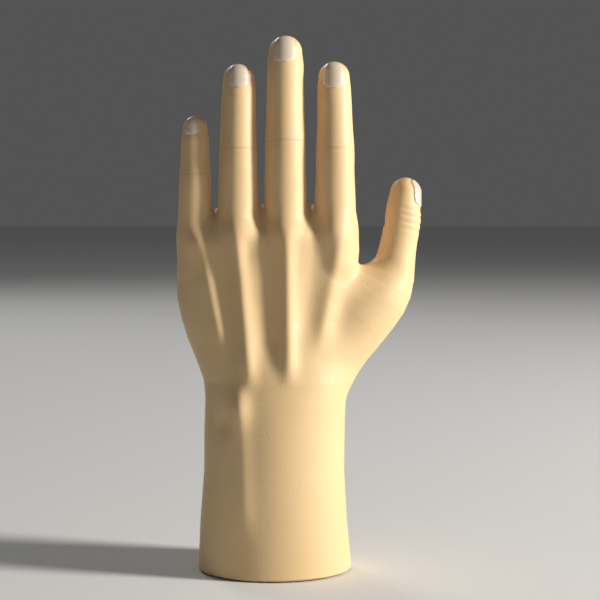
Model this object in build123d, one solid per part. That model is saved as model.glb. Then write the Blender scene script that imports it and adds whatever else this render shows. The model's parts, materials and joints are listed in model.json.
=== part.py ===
from build123d import *

"""A passive left hand for a forearm socket. Its fingers and thumb are set by hand and held by friction.

Millimetres. The forearm axis is +Z, with the origin at the centre of the mounting flange's underside.
+X is the thumb side and +Y the palm side. A digit's own frame has its pivot at the origin, +Z along the
bone and +Y towards the pad, and its pivot turns about X.
"""

import os
from dataclasses import dataclass
from math import cos, pi, radians, sin, sqrt, tan

# ---- glove and fits ----
GLOVE_WALL = 1.4  # glove on the digits
PALM_WALL = 2.0  # glove on the palm and cuff
GLOVE_GAP = 0.15  # between a digit's glove and its bone
PALM_GAP = 0.35  # between the palm's glove and what fills it
RUNNING_GAP = 0.03  # radial, pin in bore
SEAT_GAP = 0.01  # radial, pin or screw in the piece that holds it
SIDE_GAP = 0.05  # beside each friction washer
FOAM_GAP = 0.4  # between the foam and what it is moulded round

# ---- joint travel, degrees ----
KNUCKLE_FLEX = 85
MIDDLE_FLEX = 90
THUMB_SWING = 35
THUMB_KNUCKLE_FLEX = 25
THUMB_TIP_FLEX = 50
MITRE_MARGIN = 3.5  # more than half a finger's bend at rest

# ---- pivots ----
PIN_RADIUS = 2.0
WASHER_THICK = 0.5
WASHER_RADIUS = 4.4
CHEEK_CLEARANCE = 0.5  # between a fork's round end and the bone that turns round it
WIDE_HUB, NARROW_HUB = (7.0, 6.4), (5.0, 4.8)  # tang width and eye radius at the knuckles
KNUCKLE_CHEEK = 2.2

# ---- glove folds, along the bone from the pivot ----
KNUCKLE_FOLD = 8.0  # towards the wrist
WEB_LEVEL = 180.0  # height of the skin between the fingers
THUMB_FOLD = (5.0, 10.0)  # towards the wrist, towards the tip
MIDDLE_FOLD = (6.5, 6.5)
FOLD_WALL = 0.85  # glove at a middle fold, thinned so that it bends
FOLD_CREASE = 1.5  # half the fold's length at the pivot, on the pad side

# ---- cuff, palm: height, half width, half depth, centre x, centre y, squareness ----
CUFF_LIFT = 0.3  # the rim clears what the flange is mounted on
SECTIONS = [
    (CUFF_LIFT, 38.5, 30.0, -0.2, 0.0, 2.0),
    (40, 36.2, 28.6, -0.4, 0.0, 2.0),
    (82, 35.3, 26.5, -0.3, 0.0, 2.05),
    (104, 35.8, 21.5, -2.2, 0.5, 2.15),
    (125, 39.5, 17.5, -4.0, 1.5, 2.3),
    (147, 44.0, 15.5, -3.6, 2.5, 2.5),
    (164, 45.0, 14.0, -4.0, 2.0, 2.6),
    (172, 44.8, 13.3, -4.1, 1.4, 2.6),
    (WEB_LEVEL, 44.2, 12.3, -4.2, 0.6, 2.6),
]
SECTION_POINTS = 28
SECTION_STEPS = 15

# ---- palm frame ----
BAR_BACK, BAR_FRONT = -4.0, 5.0  # the knuckle block's bar, dorsal and palmar faces
BAR_LOW, BAR_HIGH = 145.0, 153.5
PLATE_THICK = 3.0
FOOT_LOW = 64.0
FOOT_THICK = 4.0
SCREW_RADIUS = 1.5
SCREW_HEAD = (2.75, 2.0)
KNUCKLE_SCREW_X = (-30.0, -7.0, 17.0, 30.0)

# ---- wrist unit ----
FLANGE_RADIUS, FLANGE_THICK = 25.0, 5.0
SOCKET_BOLT_CIRCLE, SOCKET_BOLT_HOLE = 38.0, 2.25
HOUSING_RADIUS, HOUSING_TOP = 15.5, 52.0
HOUSING_WALL, HOUSING_CAP = 3.0, 6.0
BUSH_WALL, BUSH_COLLAR = 2.0, 2.0
SPINDLE_RADIUS, SPINDLE_END = 6.0, 24.0
SPINDLE_HEAD = (16.0, 4.0)
SPINDLE_SCREW_CIRCLE = 22.0
NUT_THICK, NUT_ACROSS = 6.0, 19.0
SPRING_RISE, SPRING_THICK = 1.4, 0.9
WRIST_PLATE_THICK = 4.0
FORMER_WALL = 2.5
FORMER_TOP = 72.0

# ---- thumb root ----
THUMB_ROOT = (22.0, 7.0, 100.0)
THUMB_KNUCKLE = (58.5, 10.0, 142.0)
THUMB_MIDDLE = (64.0, 12.0, 173.0)
THUMB_END = (67.0, 14.0, 197.0)
THUMB_NAIL_WAY = (0.97, -0.22, -0.16)
BARREL_RADIUS, BARREL_HALF = 6.0, 6.0
LUG_THICK, LUG_RADIUS, LUG_GAP = 4.0, 6.5, 0.4
SWING_PIN_RADIUS = 2.5
THUMB_FIELD = [(20, 90), (20, 118), (34, 150), (90, 156), (90, 90)]  # x, z of the moving skin


@dataclass
class Digit:
    name: str
    knuckle: Vector  # pivot nearest the palm
    middle: Vector  # pivot half way
    end: Vector  # fingertip
    nail_way: Vector  # outward from the nail
    radius: tuple  # glove's outside at the knuckle, middle pivot and nail
    flex: tuple  # degrees at the knuckle and the middle pivot
    hub: tuple  # tang width and eye radius at the knuckle
    tang: float
    eye: float  # radius of the middle pivot's tang
    nail: tuple  # width, length

    def frame(self, pivot, way):
        """A plane at pivot with +Z along way and +Y away from the nail."""
        z = (way - pivot).normalized()
        y = (self.nail_way * -1 - z * (self.nail_way * -1).dot(z)).normalized()
        return Plane(origin=pivot, x_dir=y.cross(z), z_dir=z)

    @property
    def inner(self):
        return self.frame(self.knuckle, self.middle)

    @property
    def outer(self):
        """The middle pivot's frame. It turns about the same axis as the knuckle's."""
        x = self.inner.x_dir
        way = self.end - self.middle
        return Plane(origin=self.middle, x_dir=x, z_dir=way - x * way.dot(x))

    @property
    def inner_length(self):
        return (self.middle - self.knuckle).length

    @property
    def outer_length(self):
        return (self.end - self.middle).length


def finger(name, x, y, z, lengths, radius, hub, tang, eye, nail, lean=(3.0, 6.0)):
    """A finger that leans towards the palm by lean degrees in its two bones."""
    knuckle = Vector(x, y, z)
    ways = [Vector(0, sin(radians(a)), cos(radians(a))) for a in lean]
    middle = knuckle + ways[0] * lengths[0]
    end = middle + ways[1] * lengths[1]
    flex = (KNUCKLE_FLEX, MIDDLE_FLEX)
    return Digit(name, knuckle, middle, end, Vector(0, -1, 0), radius, flex, hub, tang, eye, nail)


FINGERS = [
    finger("index", 30.0, 0.0, 167.4, (42.5, 44.6), (10.2, 9.5, 7.8), WIDE_HUB, 6.0, 6.0, (10.4, 12.0)),
    finger("middle", 5.2, -0.5, 167.4, (46.5, 53.6), (10.9, 9.8, 8.5), WIDE_HUB, 6.0, 6.2, (11.0, 12.8)),
    finger("ring", -18.3, 0.0, 167.4, (42.5, 43.6), (10.3, 9.1, 7.9), WIDE_HUB, 5.6, 5.8, (10.2, 12.0)),
    finger("little", -39.4, 3.2, 162.4, (35.2, 29.9), (8.6, 7.8, 6.1), NARROW_HUB, 4.6, 4.8, (8.2, 9.6)),
]
THUMB = Digit(
    "thumb",
    Vector(THUMB_KNUCKLE),
    Vector(THUMB_MIDDLE),
    Vector(THUMB_END),
    Vector(THUMB_NAIL_WAY),
    (10.6, 8.8, 8.0),
    (THUMB_KNUCKLE_FLEX, THUMB_TIP_FLEX),
    WIDE_HUB,
    5.6,
    5.6,
    (12.0, 12.6),
)
THUMB_BONE = THUMB.frame(Vector(THUMB_ROOT), THUMB.knuckle)
THUMB_BONE_LENGTH = (THUMB.knuckle - Vector(THUMB_ROOT)).length
THUMB_PAD_RADIUS = (12.0, 12.4)  # glove round the thumb's palm bone, wrist end and knuckle end
WEB_START, WEB_RADIUS = (27.0, 4.0, 132.0), (11.0, 8.5)
REACH = 60.0  # longer than any digit is thick


# ---------------------------------------------------------------- shared shapes


def ring(outer, inner, low, high):
    """A washer or tube about Z."""
    return Pos(0, 0, low) * extrude(Circle(outer) - Circle(inner), high - low)


def rod(radius, length, along=Axis.X):
    """A cylinder centred on the origin."""
    turned = {Axis.X: Rot(0, 90, 0), Axis.Y: Rot(90, 0, 0), Axis.Z: Rot(0, 0, 0)}
    return turned[along] * Cylinder(radius, length)


def block(x, y, z):
    """A box between two corners, each given as (low, high)."""
    return Pos(x[0], y[0], z[0]) * Box(x[1] - x[0], y[1] - y[0], z[1] - z[0], align=[Align.MIN] * 3)


def turned_body(low, stations, dome=0.0):
    """A round bar about Z through (height, radius) stations, from low, with a domed end if dome is set."""
    first, last = stations[0], stations[-1]
    slope = (stations[1][1] - first[1]) / (stations[1][0] - first[0])
    start = (first[1] + slope * (low - first[0]), low)
    corners = [(0, low), start] + [(r, z) for z, r in stations if z > low]
    outline = Polyline(*corners).edges()
    if dome:
        pull = 0.5523  # a quarter ellipse as one Bezier curve
        top = last[0] + dome
        side, crown = (last[1], last[0] + pull * dome), (pull * last[1], top)
        outline += [Bezier((last[1], last[0]), side, crown, (0, top)).edge()]
    else:
        outline += [Line((last[1], last[0]), (0, last[0])).edge()]
    outline += [Line((0, last[0] + dome), (0, low)).edge()]
    return revolve(Plane.XZ * make_face(outline), Axis.Z, 360)


def above_mitre(down, gap, slope):
    """Everything past a pivot's wrist-side limit: flat on the nail side, sloping back on the pad side."""
    turn = max(0.0, (down - gap) / slope)
    edge = [(-REACH, -down), (turn, -down), (REACH, -gap - slope * REACH)]
    points = [*edge, (REACH, 3 * REACH), (-REACH, 3 * REACH)]
    return extrude(Plane.YZ * Polygon(*points, align=None), REACH, both=True)


def below_mitre(up, gap, slope):
    """Everything on the wrist side of a pivot's tip-side limit."""
    turn = max(0.0, (up - gap) / slope)
    edge = [(REACH, gap + slope * REACH), (turn, up), (-REACH, up)]
    points = [(-REACH, -3 * REACH), (REACH, -3 * REACH), *edge]
    return extrude(Plane.YZ * Polygon(*points, align=None), REACH, both=True)


def mitre(flex):
    return tan(radians(flex / 2 + MITRE_MARGIN))


def inner_stations(d, inset=0.0):
    return [(0, d.radius[0] - inset), (d.inner_length, d.radius[1] - inset)]


def tip_dome(d):
    return 0.85 * d.radius[2]


def outer_body(d, inset=0.0, low=-12.0):
    """The fingertip's round body, in the frame of the middle pivot."""
    neck = d.outer_length - tip_dome(d)
    stations = [(0, d.radius[1] - inset), (neck, d.radius[2] - inset)]
    return turned_body(low, stations, tip_dome(d) - inset)


def inner_body(d, inset=0.0, low=-16.0):
    """The first bone's round body, in the frame of the knuckle pivot. It runs past the middle pivot."""
    (_, start), (length, finish) = inner_stations(d, inset)
    past = length + 12.0
    return turned_body(low, [(0, start), (past, start + (finish - start) * past / length)])


# ---------------------------------------------------------------- digits


def slot_half(tang):
    """From a pivot's centre to a fork's cheek."""
    return tang / 2 + 2 * SIDE_GAP + WASHER_THICK


def tang(width, eye, neck):
    """The eye and neck that a bone turns on, bored for its pin."""
    turned = rod(eye, width) + block((-width / 2, width / 2), (-0.72 * eye, 0.72 * eye), (0, neck))
    return turned - rod(PIN_RADIUS + RUNNING_GAP, 2 * width)


def washers(width):
    """The two friction washers beside a tang."""
    middle = width / 2 + SIDE_GAP + WASHER_THICK / 2
    one = rod(WASHER_RADIUS, WASHER_THICK) - rod(PIN_RADIUS + RUNNING_GAP, 2 * WASHER_THICK)
    return [Pos(side * middle, 0, 0) * one for side in (-1, 1)]


def fork_end(body, half_gap, eye, slope):
    """Cuts a bone's far end, at the origin, to two round cheeks that another bone's tang fits between."""
    cheeks = body & rod(eye, REACH)
    fork = body - above_mitre(0, CHEEK_CLEARANCE, slope) + cheeks
    fork -= block((-half_gap, half_gap), (-REACH, REACH), (-eye - CHEEK_CLEARANCE, REACH))
    return fork - rod(PIN_RADIUS + SEAT_GAP, REACH)


def bone_start(body, slope, eye):
    """Cuts a bone's near end, at the origin, to clear the fork that it turns in."""
    return body - below_mitre(0, CHEEK_CLEARANCE, slope) - rod(eye + CHEEK_CLEARANCE, REACH)


def first_bone(d):
    """The bone from the knuckle to the middle pivot, with a tang at one end and a fork at the other."""
    inset = GLOVE_WALL + GLOVE_GAP
    width, eye = d.hub
    body = bone_start(inner_body(d, inset), mitre(d.flex[0]), eye)
    far = Pos(0, 0, d.inner_length)
    body = far * fork_end(far.inverse() * body, slot_half(d.tang), d.eye, mitre(d.flex[1]))
    return body + tang(width, eye, eye + 3)


def end_bone(d):
    """The bone inside the fingertip, which turns on the middle pivot."""
    inset = GLOVE_WALL + GLOVE_GAP
    body = bone_start(outer_body(d, inset), mitre(d.flex[1]), d.eye)
    return body + tang(d.tang, d.eye, d.eye + 3)


def pivot_set(width, half_length):
    """A pin and its two friction washers."""
    return Compound(children=[rod(PIN_RADIUS, 2 * half_length), *washers(width)])


def middle_pivot(d):
    """The middle pivot's pin, as long as the bone is wide there, and its washers."""
    room = d.radius[1] - GLOVE_WALL - 3 * GLOVE_GAP
    return pivot_set(d.tang, sqrt(room**2 - PIN_RADIUS**2))


def nail_outline(d, grow=0.0):
    """A prism through the nail, in the frame of the middle pivot."""
    width, length = d.nail
    face = RectangleRounded(width + 2 * grow, length + 2 * grow, 0.32 * width)
    height = d.outer_length - 0.5 * length - 1.2
    return extrude(Plane((0, 0, height), x_dir=(1, 0, 0), z_dir=(0, -1, 0)) * face, REACH)


NAIL_PROUD, NAIL_SUNK = 0.3, 0.7


def nail(d):
    """The nail plate: a shell that follows the fingertip, half sunk into the glove."""
    plate = outer_body(d, -NAIL_PROUD, low=4.0) - outer_body(d, NAIL_SUNK, low=0.0)
    return plate & nail_outline(d)


def tip_glove(d):
    """The glove past the middle fold, with the nail's seat."""
    shell = outer_body(d) - outer_body(d, GLOVE_WALL)
    shell -= below_mitre(MIDDLE_FOLD[1], FOLD_CREASE, mitre(d.flex[1]))
    return shell - (nail_outline(d, GLOVE_GAP) - outer_body(d, NAIL_SUNK + GLOVE_GAP))


def fold_end(d):
    """How far past its knuckle a digit's rigid glove starts."""
    return THUMB_FOLD[1] if d is THUMB else WEB_LEVEL + 4 * GLOVE_GAP - d.knuckle.Z


def bone_glove(d):
    """The glove between the knuckle fold and the middle fold."""
    shell = inner_body(d) - inner_body(d, GLOVE_WALL, low=-17.0)
    shell -= below_mitre(fold_end(d), FOLD_CREASE, mitre(d.flex[0]))
    return shell - Pos(0, 0, d.inner_length) * above_mitre(MIDDLE_FOLD[0], FOLD_CREASE, mitre(d.flex[1]))


def middle_fold(d):
    """The ring of glove that folds at the middle pivot, in the knuckle's frame."""
    slope = mitre(d.flex[1])
    to_inner = d.inner.location.inverse() * d.outer.location
    fold = inner_body(d) - inner_body(d, FOLD_WALL, low=-17.0)
    fold &= Pos(0, 0, d.inner_length) * above_mitre(MIDDLE_FOLD[0], FOLD_CREASE, slope)
    return fold & to_inner * below_mitre(MIDDLE_FOLD[1], FOLD_CREASE, slope)


# ---------------------------------------------------------------- palm


def section(z, half_width, half_depth, x, y, squareness, inset):
    """One closed outline of the cuff or palm."""
    a, b = half_width - inset, half_depth - inset
    points = []
    for i in range(SECTION_POINTS):
        t = 2 * pi * i / SECTION_POINTS
        c, s = cos(t), sin(t)
        px = a * abs(c) ** (2 / squareness) * (1 if c > 0 else -1)
        py = b * abs(s) ** (2 / squareness) * (1 if s > 0 else -1)
        points.append((x + px, y + py, z))
    even = [i / SECTION_POINTS for i in range(SECTION_POINTS + 1)]
    return Wire([Edge.make_spline([Vector(p) for p in points], periodic=True, parameters=even)])


def at_height(z):
    """The cuff's and palm's section at a height, on a smooth curve through SECTIONS."""
    i = max(k for k in range(len(SECTIONS) - 1) if SECTIONS[k][0] <= z or k == 0)
    span = SECTIONS[i + 1][0] - SECTIONS[i][0]
    t = (z - SECTIONS[i][0]) / span
    row = []
    for low, high, before, after in zip(SECTIONS[i], SECTIONS[i + 1], slopes(i), slopes(i + 1)):
        start, finish = (1 + 2 * t) * (1 - t) ** 2 * low, t * t * (3 - 2 * t) * high
        row.append(start + finish + span * (t * (1 - t) ** 2 * before - t * t * (1 - t) * after))
    return row


def slopes(i):
    """How fast each of a section's sizes changes with height at row i."""
    below, above = SECTIONS[max(i - 1, 0)], SECTIONS[min(i + 1, len(SECTIONS) - 1)]
    return [(high - low) / (above[0] - below[0]) for low, high in zip(below, above)]


def palm_loft(inset=0.0):
    """The cuff and palm without the digits. What goes inside the glove is open through its base."""
    low, high = SECTIONS[0][0], SECTIONS[-1][0]
    rows = [at_height(low + (high - low) * k / SECTION_STEPS) for k in range(SECTION_STEPS + 1)]
    if inset:
        rows[0][0] -= 1.0
        rows[-1][0] -= PALM_WALL
    return Solid.make_loft([section(*row, inset) for row in rows])


def thumb_root_body(inset):
    """The glove's outline round the thumb's palm bone and the web to the index finger."""
    start, finish = (r - inset for r in THUMB_PAD_RADIUS)
    pad = THUMB_BONE * turned_body(inset - 10.0, [(0, start), (THUMB_BONE_LENGTH + 1.0, finish)], finish)
    line = Vector(THUMB_KNUCKLE) - Vector(WEB_START)
    low, high = (r - inset for r in WEB_RADIUS)
    web = Plane(origin=WEB_START, z_dir=line) * turned_body(0.0, [(0, low), (line.length, high)])
    return pad + web


def hand_body(inset=0.0):
    """Cuff, palm and thumb root in one."""
    return palm_loft(inset) + thumb_root_body(inset)


def finger_slabs():
    """Each finger with the x range from half way to its neighbours."""
    order = sorted(FINGERS, key=lambda d: d.knuckle.X)
    edges = [-REACH] + [(a.knuckle.X + b.knuckle.X) / 2 for a, b in zip(order, order[1:])] + [REACH]
    return zip(order, edges, edges[1:])


def past_knuckles(down, gap):
    """Everything past the knuckles' wrist-side limit."""
    slabs = []
    for d, left, right in finger_slabs():
        cut = above_mitre(down, gap, mitre(d.flex[0]))
        width = block((left - d.knuckle.X, right - d.knuckle.X), (-REACH, REACH), (-3 * REACH, 3 * REACH))
        slabs.append(Pos(d.knuckle) * (cut & width))
    return slabs[0] + slabs[1:]


def thumb_field():
    """The stretch of glove that moves with the thumb's root."""
    return extrude(Plane.XZ * Polygon(*THUMB_FIELD, align=None), REACH, both=True)


def gloves():
    """The glove's palm, its knuckle folds and its thumb web, cut from one shell."""
    shell = hand_body() - hand_body(PALM_WALL)
    beyond_thumb = above_mitre(THUMB_FOLD[0], FOLD_CREASE, mitre(THUMB.flex[0]))
    near = 1.25 * THUMB_PAD_RADIUS[1]
    shell -= THUMB.inner * (beyond_thumb & block((-near, near), (-near, near), (-near, REACH)))
    beyond = past_knuckles(KNUCKLE_FOLD, FOLD_CREASE)
    folds = shell & beyond
    for d in FINGERS:
        folds -= d.inner * inner_body(d, GLOVE_WALL)
    hand = shell - beyond
    return hand - thumb_field(), folds, hand & thumb_field()


def thumb_fold():
    """The ring of glove that folds at the thumb's knuckle."""
    shell = inner_body(THUMB, low=-9.0) - inner_body(THUMB, GLOVE_WALL, low=-10.0)
    slope = mitre(THUMB.flex[0])
    down, up = THUMB_FOLD
    return shell & above_mitre(down, FOLD_CREASE, slope) & below_mitre(up, FOLD_CREASE, slope)


def knuckle_block():
    """The bar across the palm with a fork for each finger."""
    left, right = FINGERS[-1].knuckle.X - 2.6, FINGERS[0].knuckle.X + 3.6
    bar = block((left, right), (BAR_BACK, BAR_FRONT), (BAR_LOW, BAR_HIGH))
    for d in FINGERS:
        width, eye = d.hub
        outside, drop = hub_half(d), d.knuckle.Z - BAR_HIGH
        back, front = -0.5 * eye, min(0.55 * eye, BAR_FRONT - d.knuckle.Y)
        cheek = rod(eye, 2 * outside) + block((-outside, outside), (back, front), (-drop - 5, 0))
        bar += Pos(d.knuckle) * cheek
    for d in FINGERS:
        width, eye = d.hub
        half = slot_half(width)
        bar -= Pos(d.knuckle) * rod(PIN_RADIUS + SEAT_GAP, 2 * hub_half(d) + 1)
        bar -= Pos(d.knuckle) * block((-half, half), (-REACH, REACH), (-eye - CHEEK_CLEARANCE, REACH))
    for x in KNUCKLE_SCREW_X:
        bar -= Pos(x, BAR_FRONT, screw_height()) * rod(SCREW_RADIUS + SEAT_GAP, 14, Axis.Y)
    return bar


def hub_half(d):
    """From a knuckle's centre to the outside of its fork."""
    return slot_half(d.hub[0]) + KNUCKLE_CHEEK


def screw_height():
    return (BAR_LOW + BAR_HIGH) / 2


def palm_chassis():
    """The plate from the wrist's foot to the knuckle block, with lightening holes."""
    thumb_side = [(17, FOOT_LOW), (14, 84), (14, 116), (36, BAR_HIGH)]
    little_side = [(-44, BAR_HIGH), (-36, 128), (-19, 92), (-17, FOOT_LOW)]
    outline = Polygon(*thumb_side, *little_side, align=None)
    plate = Pos(0, BAR_FRONT + PLATE_THICK, 0) * extrude(Plane.XZ * outline, PLATE_THICK)
    for x, z, r in ((-22, 130, 6), (2, 132, 8), (-3, 106, 7)):
        plate -= Pos(x, BAR_FRONT, z) * rod(r, 20, Axis.Y)
    for x in KNUCKLE_SCREW_X:
        plate -= Pos(x, BAR_FRONT, screw_height()) * rod(SCREW_RADIUS + SEAT_GAP, 20, Axis.Y)
    for z in bracket_screw_heights():
        plate -= Pos(bracket_middle(), BAR_FRONT, z) * rod(SCREW_RADIUS + SEAT_GAP, 20, Axis.Y)
    foot = Pos(0, 0, FOOT_LOW) * extrude(Circle(SPINDLE_HEAD[0]), FOOT_THICK)
    foot -= spindle_screw_holes(SCREW_RADIUS + SEAT_GAP, FOOT_LOW, FOOT_LOW + FOOT_THICK)
    return plate + foot


def screw(length, turned):
    """A socket screw with its head on the origin's far side, pointing back along turned's Z."""
    head_radius, head_height = SCREW_HEAD
    shape = Pos(0, 0, -length / 2) * Cylinder(SCREW_RADIUS, length)
    shape += Pos(0, 0, head_height / 2) * Cylinder(head_radius, head_height)
    shape -= Pos(0, 0, head_height) * extrude(RegularPolygon(1.3, 6), -1.2)
    return turned * shape


def chassis_screws():
    """The screws through the chassis into the knuckle block and the thumb bracket."""
    face = BAR_FRONT + PLATE_THICK
    into_bar = [screw(10.0, Pos(x, face, screw_height()) * Rot(-90, 0, 0)) for x in KNUCKLE_SCREW_X]
    x = bracket_middle()
    into_bracket = [screw(7.0, Pos(x, BAR_FRONT, z) * Rot(90, 0, 0)) for z in bracket_screw_heights()]
    return Compound(children=into_bar + into_bracket)


def spindle_screw_holes(radius, low, high):
    """Four holes about Z for the spindle's screws."""
    hole = Pos(0, 0, (low + high) / 2) * Cylinder(radius, high - low + 1)
    return Compound(children=PolarLocations(SPINDLE_SCREW_CIRCLE / 2, 4) * hole)


# ---------------------------------------------------------------- thumb root


def lug_levels():
    """The heights of the thumb bracket's two lugs."""
    z = THUMB_ROOT[2]
    near, far = BARREL_HALF + LUG_GAP, BARREL_HALF + LUG_GAP + LUG_THICK
    return (z - far, z - near), (z + near, z + far)


def bracket_middle():
    return THUMB_ROOT[0] - 12.5


def bracket_screw_heights():
    (low, _), (_, high) = lug_levels()
    return low + 6, high - 6


def thumb_bracket():
    """The block on the chassis whose two lugs hold the thumb's swing pin."""
    x, y, _ = THUMB_ROOT
    (low, _), (_, high) = lug_levels()
    face = BAR_FRONT + PLATE_THICK
    left = bracket_middle() - 4
    body = block((left, left + 8), (face, face + 6), (low, high))
    for bottom, top in lug_levels():
        flat = Rectangle(x - left, 2 * LUG_RADIUS, align=(Align.MIN, Align.CENTER))
        arm = Pos(left, y, bottom) * extrude(flat, top - bottom)
        arm += Pos(x, y, bottom) * Cylinder(LUG_RADIUS, top - bottom, align=BASE)
        arm -= block((0, left + 9), (-REACH, face), (bottom, top))
        body += arm - Pos(x, y, bottom) * Cylinder(SWING_PIN_RADIUS + SEAT_GAP, top - bottom, align=BASE)
    for z in bracket_screw_heights():
        body -= Pos(bracket_middle(), face, z) * rod(SCREW_RADIUS + SEAT_GAP, 12, Axis.Y)
    return body


BASE = (Align.CENTER, Align.CENTER, Align.MIN)


def thumb_swing_pin():
    """The headed pin through the bracket's lugs and the thumb's barrel."""
    x, y, _ = THUMB_ROOT
    (low, _), (_, high) = lug_levels()
    pin = Pos(x, y, low) * Cylinder(SWING_PIN_RADIUS, high - low, align=BASE)
    return pin + Pos(x, y, low - 1.5) * Cylinder(SWING_PIN_RADIUS + 1.5, 1.5, align=BASE)


def thumb_palm_bone():
    """The thumb's palm bone: a barrel on the swing pin, an arm, and a round bar that ends in a fork."""
    x, y, z = THUMB_ROOT
    width, eye = THUMB.hub
    start, finish = (r - PALM_WALL - 1.0 for r in THUMB_PAD_RADIUS)
    barrel = Pos(x, y, z) * Cylinder(BARREL_RADIUS, 2 * BARREL_HALF)
    arm = block((x, x + 16), (y - 4.5, y + 4.5), (z - BARREL_HALF + 1, z + BARREL_HALF - 1))
    arm += block((x + 8.5, x + 16), (y - 4.5, y + 4.5), (z - BARREL_HALF + 1, z + 12))
    arm &= THUMB_BONE * turned_body(-12.0, [(0, start), (THUMB_BONE_LENGTH, finish)])
    near = THUMB_BONE_LENGTH * 0.32
    bar = turned_body(near, [(0, start - 3.5), (THUMB_BONE_LENGTH + 9.0, finish - 3.2)])
    bar = THUMB.inner.location.inverse() * (THUMB_BONE * bar)
    bar = THUMB.inner * fork_end(bar, slot_half(width), eye, mitre(THUMB.flex[0]))
    whole = barrel + arm + bar
    return whole - Pos(x, y, z) * Cylinder(SWING_PIN_RADIUS + RUNNING_GAP, 4 * BARREL_HALF)


# ---------------------------------------------------------------- foam


def foam_halves():
    """The foam round the palm frame, in two halves that meet at the chassis."""
    body = palm_loft(PALM_WALL + PALM_GAP) & block((-90, 90), (-90, 90), (FORMER_TOP + 0.5, 200))
    body -= past_knuckles(KNUCKLE_FOLD, FOLD_CREASE)
    body -= thumb_field()
    left = FINGERS[-1].knuckle.X - 8.5
    body -= block((left, 60), (BAR_BACK - 3.5, BAR_FRONT + 6.5), (BAR_LOW - FOAM_GAP, 200))
    body -= block((left - 4, left + 18), (BAR_BACK, FINGERS[-1].knuckle.Y + 8), (BAR_LOW - 4, 200))
    left = bracket_middle() - 4 - FOAM_GAP
    body -= block((left, 60), (-REACH, REACH), (lug_levels()[0][0] - 3, lug_levels()[1][1] + 2))
    gap = FOAM_GAP
    back = body & block((-90, 90), (-90, BAR_FRONT - gap), (0, 200))
    front = body & block((-90, 90), (BAR_FRONT + PLATE_THICK + gap, 90), (0, 200))
    return back, front


# ---------------------------------------------------------------- wrist unit


def mounting_flange():
    """The plate that bolts to the socket. Its holes take the socket's screws."""
    plate = extrude(Circle(FLANGE_RADIUS), FLANGE_THICK)
    hole = Pos(0, 0, FLANGE_THICK / 2) * Cylinder(SOCKET_BOLT_HOLE, FLANGE_THICK + 1)
    plate -= Compound(children=PolarLocations(SOCKET_BOLT_CIRCLE / 2, 4, start_angle=45) * hole)
    tapped = Pos(0, 0, FLANGE_THICK / 2) * Cylinder(SCREW_RADIUS + SEAT_GAP, FLANGE_THICK + 1)
    sunk = Pos(0, 0, SCREW_HEAD[1] / 2) * Cylinder(SCREW_HEAD[0] + 0.2, SCREW_HEAD[1] + 0.4)
    return plate - Compound(children=flange_screw_places() * (tapped + sunk))


def flange_screw_places():
    middle = HOUSING_RADIUS - HOUSING_WALL / 2
    return PolarLocations(middle, 4)


def flange_screws():
    """Four screws from below that hold the housing on the flange."""
    one = screw(9.0, Pos(0, 0, SCREW_HEAD[1] + 0.2) * Rot(180, 0, 0))
    return Compound(children=flange_screw_places() * one)


def wrist_housing():
    """The fixed barrel of the friction wrist. Its walls thicken where the flange's screws enter."""
    bush_bore = SPINDLE_RADIUS + RUNNING_GAP + BUSH_WALL + SEAT_GAP
    inside = HOUSING_RADIUS - HOUSING_WALL
    body = ring(HOUSING_RADIUS, bush_bore, FLANGE_THICK, HOUSING_TOP)
    body -= ring(inside, 1, FLANGE_THICK, HOUSING_TOP - HOUSING_CAP)
    for place in flange_screw_places():
        boss = place * (Pos(0, 0, FLANGE_THICK) * Cylinder(3.0, 8.0, align=BASE))
        body += boss & ring(HOUSING_RADIUS, NUT_ACROSS / 2 + 1, 0, HOUSING_TOP)
    hole = Pos(0, 0, FLANGE_THICK) * Cylinder(SCREW_RADIUS + SEAT_GAP, 14)
    return body - Compound(children=flange_screw_places() * hole)


def friction_bush():
    """The nylon collar between the turning hand and the fixed housing."""
    bore = SPINDLE_RADIUS + RUNNING_GAP
    sleeve = ring(bore + BUSH_WALL, bore, HOUSING_TOP - HOUSING_CAP, HOUSING_TOP)
    return sleeve + ring(HOUSING_RADIUS, bore, HOUSING_TOP, HOUSING_TOP + BUSH_COLLAR)


def disc_spring(low, way):
    """One coned disc spring about the spindle. way is 1 if its rim is the upper edge."""
    bore, rim = SPINDLE_RADIUS + 0.2, HOUSING_RADIUS - HOUSING_WALL - 0.8
    inner = low if way > 0 else low + SPRING_RISE
    outer = low + SPRING_RISE if way > 0 else low
    points = [(bore, inner), (rim, outer), (rim, outer + SPRING_THICK), (bore, inner + SPRING_THICK)]
    return revolve(Plane.XZ * Polygon(*points, align=None), Axis.Z, 360)


def spring_levels():
    """The lower disc spring's foot, the upper one's foot, and the nut's top."""
    top = HOUSING_TOP - HOUSING_CAP
    each = SPRING_RISE + SPRING_THICK
    return top - 2 * each - 2 * SIDE_GAP, top - each - SIDE_GAP, top - 2 * each - 3 * SIDE_GAP


def disc_springs():
    """Two disc springs, rim to rim, that load the wrist's friction."""
    lower, upper, _ = spring_levels()
    return Compound(children=[disc_spring(lower, 1), disc_spring(upper, -1)])


def lock_nut():
    """The nut on the spindle that sets the friction."""
    top = spring_levels()[2]
    across = RegularPolygon(NUT_ACROSS / 2, 6, major_radius=False)
    nut = Pos(0, 0, top - NUT_THICK) * extrude(across, NUT_THICK)
    return nut - Pos(0, 0, top - NUT_THICK / 2) * Cylinder(SPINDLE_RADIUS + SEAT_GAP, NUT_THICK + 1)


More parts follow.
